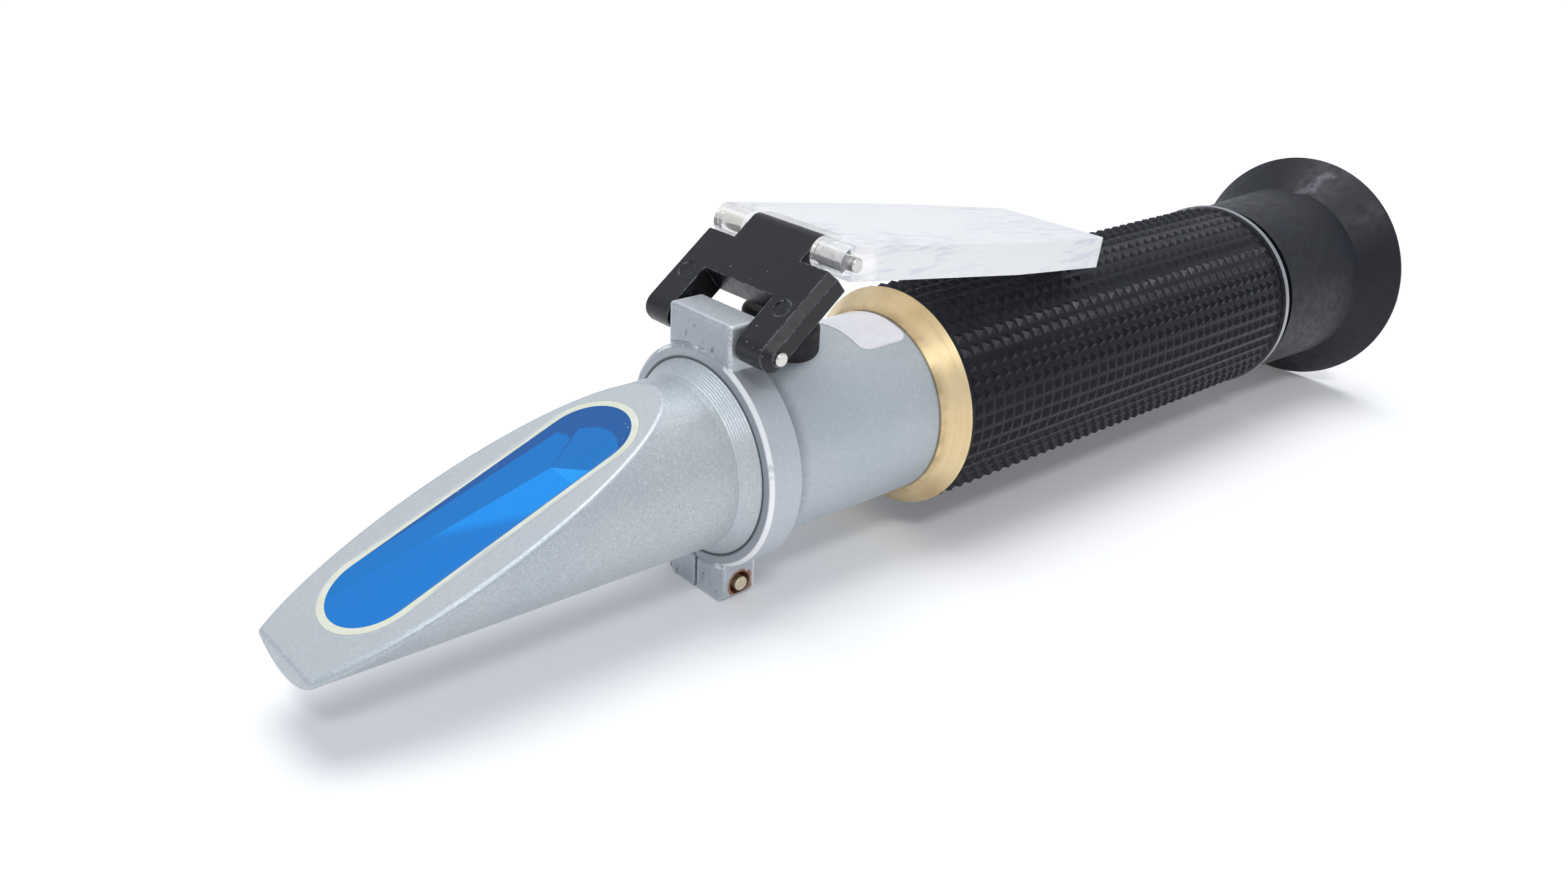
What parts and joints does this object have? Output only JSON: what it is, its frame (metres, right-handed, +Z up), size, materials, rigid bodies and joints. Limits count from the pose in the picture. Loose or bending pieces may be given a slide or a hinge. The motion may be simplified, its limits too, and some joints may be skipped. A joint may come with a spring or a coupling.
{
  "type": "refractometer",
  "caption": "Hand-held optical refractometer with sloping prism face, hinged clear cover plate, knurled grip and turning eyepiece",
  "frame": {"origin": "on the table under the middle of the object's length, below the optical axis", "axes": "+X along the optical axis from the prism tip to the eyepiece, +Z up on the hinge side, +Y to complete the set"},
  "size_m": [0.1932, 0.04, 0.0472],
  "materials": {
    "silver_paint": "satin",
    "prism_glass": "polished, blue",
    "sealant": "satin",
    "black_plastic": "matte",
    "screw_brass": "dull",
    "bracket_plastic": "satin",
    "steel": "bright",
    "clear_plate": "clear",
    "brass": "satin turned",
    "grip_black": "satin, knurled",
    "bare_aluminium": "turned",
    "cap_rubber": "matte",
    "black_aluminium": "black anodised",
    "lens_glass": "polished",
    "bimetal": "rolled",
    "eyecup_rubber": "matte",
    "label": "satin film"
  },
  "bodies": {
    "instrument": {"prism_housing": "silver_paint", "main_prism": "prism_glass", "prism_sealant": "sealant", "prism_cradle": "black_plastic", "hinge_collar": "silver_paint", "clamp_screw": "screw_brass", "bracket_pin": "steel", "body_tube": "silver_paint", "brass_ferrule": "brass", "grip_sleeve": "grip_black", "rear_ring": "bare_aluminium", "calibration_bush": "screw_brass", "calibration_cap": "cap_rubber", "compensator_ring": "black_aluminium", "light_baffle": "black_aluminium", "reticle": "lens_glass", "reticle_ring": "black_aluminium", "eyepiece_barrel": "black_aluminium"},
    "bracket": {"hinge_bracket": "bracket_plastic", "cover_pin": "steel"},
    "cover": {"cover_plate": "clear_plate"},
    "objective": {"objective_cell": "black_aluminium", "objective_lens": "lens_glass", "objective_retainer": "black_aluminium", "bimetal_strip": "bimetal", "strip_screws": "steel"},
    "adjuster": {"calibration_screw": "steel"},
    "carriage": {"lens_carriage": "black_aluminium", "eye_lens": "lens_glass", "lens_spacer": "black_aluminium", "field_lens": "lens_glass", "lens_retainer": "black_aluminium"},
    "eyepiece": {"focus_sleeve": "black_aluminium", "carriage_clip": "steel", "guide_screw": "steel", "eyecup": "eyecup_rubber"}
  },
  "joints": [
    {"name": "bracket_hinge", "type": "hinge", "parent": "instrument", "child": "bracket", "pos_m": [-0.04211, 0, 0.03597], "axis": [0, -1, 0], "range_deg": [0, 158.6]},
    {"name": "cover_hinge", "type": "hinge", "parent": "bracket", "child": "cover", "pos_m": [-0.03123, 0, 0.04507], "axis": [0, -1, 0], "range_deg": [0, 51.3]},
    {"name": "focus_slide", "type": "slide", "parent": "instrument", "child": "carriage", "axis": [1, 0, 0], "range_m": [-0.00101, 0.00301]},
    {"name": "focus_turn", "type": "hinge", "parent": "carriage", "child": "eyepiece", "pos_m": [0.08895, 0, 0.02], "axis": [1, 0, 0], "range_deg": [-45, 135]},
    {"name": "cell_shift", "type": "slide", "parent": "instrument", "child": "objective", "axis": [0, 0, 1], "range_m": [-0.0003, 0.0003]},
    {"name": "calibration_turn", "type": "hinge", "parent": "objective", "child": "adjuster", "pos_m": [-0.03195, 0, 0.03233], "axis": [0, 0, 1], "range_deg": [-240.1, 240.1]}
  ],
  "couplings": [
    {"joint": "focus_slide", "follows": "focus_turn", "m_per_rad": 0.0012732},
    {"joint": "calibration_turn", "follows": "cell_shift", "rad_per_m": 13963}
  ]
}
